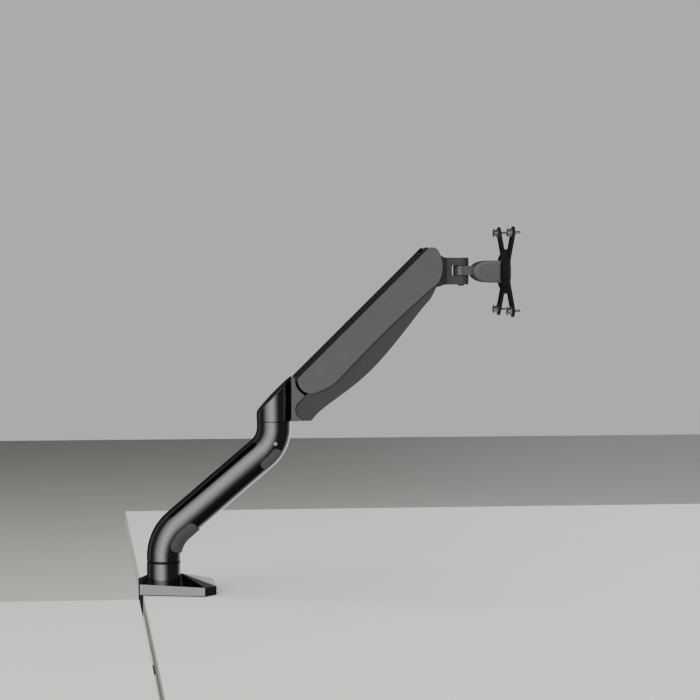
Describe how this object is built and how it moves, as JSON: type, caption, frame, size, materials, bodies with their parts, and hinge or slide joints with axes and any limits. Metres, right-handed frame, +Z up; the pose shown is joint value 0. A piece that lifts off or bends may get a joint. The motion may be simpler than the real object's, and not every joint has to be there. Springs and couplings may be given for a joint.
{
  "type": "monitor arm",
  "caption": "Desk-clamp monitor arm: swivel base, bent tube, parallel-link gas-spring upper arm and a panning, tilting, rolling plate for 75 and 100 mm screw squares.",
  "frame": {"origin": "on the base swivel axis, at the base pad's face that rests on the desk", "axes": "+Z up, +X along the arm at rest toward the screen plate, +Y across the arm"},
  "size_m": [0.4845, 0.116, 0.6405],
  "materials": {
    "dark_casting": "dark metallic gloss",
    "grey_shell": "satin grey",
    "gloss_cover": "black gloss",
    "matte_port": "matte grey",
    "bearing_plastic": "plain black",
    "pad_rubber": "matte",
    "link_steel": "zinc plated",
    "pin_steel": "ground",
    "black_steel": "black powder coat",
    "spring_tube": "black gloss paint",
    "nickel": "bright nickel",
    "head_metal": "dark satin"
  },
  "bodies": {
    "desk_clamp": {"base_casting": "dark_casting", "base_pad": "pad_rubber", "base_bushing": "bearing_plastic", "base_set_screw": "black_steel", "bracket_screws": "black_steel", "clamp_bracket": "black_steel", "clamp_nut": "nickel", "collar_ring": "bearing_plastic"},
    "clamp_spindle": {"clamp_screw": "nickel", "clamp_knob": "matte_port", "pressure_plate": "black_steel", "pressure_pad": "pad_rubber"},
    "lower_arm": {"lower_arm": "dark_casting", "base_spindle": "pin_steel", "cable_port_low": "matte_port", "cable_ports_high": "matte_port", "elbow_bushing": "bearing_plastic", "elbow_set_screw": "black_steel", "elbow_washer": "bearing_plastic"},
    "elbow": {"elbow_spindle": "pin_steel", "elbow_housing": "dark_casting", "elbow_cover": "grey_shell", "elbow_upper_pin": "pin_steel", "elbow_lower_pin": "pin_steel", "spring_pin_elbow": "pin_steel"},
    "upper_link": {"upper_channel": "link_steel", "upper_link_bushings": "bearing_plastic", "side_panel_near": "grey_shell", "side_panel_far": "grey_shell", "panel_screws": "black_steel", "top_cover": "gloss_cover", "spring_pin_arm": "pin_steel", "spring_cylinder": "spring_tube"},
    "spring_rod": {"spring_rod": "nickel", "rod_eye": "link_steel"},
    "lower_link": {"lower_channel": "link_steel", "lower_link_bushings": "bearing_plastic", "belly_cover": "grey_shell", "cable_cover": "matte_port"},
    "head": {"head_bracket": "head_metal", "head_upper_pin": "pin_steel", "head_lower_pin": "pin_steel", "pan_bolt": "black_steel", "pan_washers": "bearing_plastic"},
    "pan_tongue": {"pan_tongue": "head_metal"},
    "tilt_head": {"tilt_fork": "head_metal", "tilt_caps": "grey_shell", "tilt_bolt": "pin_steel", "tilt_washers": "bearing_plastic", "roll_washer": "bearing_plastic"},
    "plate": {"vesa_plate": "black_steel", "roll_bolt": "nickel", "thumbscrews": "nickel"}
  },
  "joints": [
    {"name": "base_swivel", "type": "hinge", "parent": "desk_clamp", "child": "lower_arm", "pos_m": [0, 0, 0.0386], "axis": [0, 0, 1], "range_deg": [-180, 180]},
    {"name": "clamp_travel", "type": "slide", "parent": "desk_clamp", "child": "clamp_spindle", "axis": [0, 0, 1], "range_m": [-0.06, 0.015]},
    {"name": "elbow_swivel", "type": "hinge", "parent": "lower_arm", "child": "elbow", "pos_m": [0.1414, 0, 0.218], "axis": [0, 0, 1], "range_deg": [-180, 180]},
    {"name": "arm_lift", "type": "hinge", "parent": "elbow", "child": "upper_link", "pos_m": [0.18724, 0, 0.27234], "axis": [0, -1, 0], "range_deg": [-75, 0]},
    {"name": "spring_stroke", "type": "slide", "parent": "upper_link", "child": "spring_rod", "axis": [-0.6852, 0, -0.7284], "range_m": [-0.0235, 0]},
    {"name": "lower_link_turn", "type": "hinge", "parent": "elbow", "child": "lower_link", "pos_m": [0.1795, 0, 0.234], "axis": [0, -1, 0], "range_deg": [-75, 0]},
    {"name": "head_level", "type": "hinge", "parent": "upper_link", "child": "head", "pos_m": [0.34055, 0, 0.42379], "axis": [0, -1, 0], "range_deg": [0, 75]},
    {"name": "head_pan", "type": "hinge", "parent": "head", "child": "pan_tongue", "pos_m": [0.384, 0, 0.41], "axis": [0, 0, 1], "range_deg": [-90, 90]},
    {"name": "head_tilt", "type": "hinge", "parent": "pan_tongue", "child": "tilt_head", "pos_m": [0.411, 0, 0.41], "axis": [0, -1, 0], "range_deg": [-15, 60]},
    {"name": "plate_roll", "type": "hinge", "parent": "tilt_head", "child": "plate", "pos_m": [0.4344, 0, 0.41], "axis": [1, 0, 0], "range_deg": [-90, 90]}
  ],
  "couplings": [
    {"joint": "lower_link_turn", "follows": "arm_lift", "ratio": 1},
    {"joint": "head_level", "follows": "arm_lift", "ratio": -1},
    {"joint": "spring_stroke", "follows": "arm_lift", "m_per_rad": 0.0175}
  ]
}
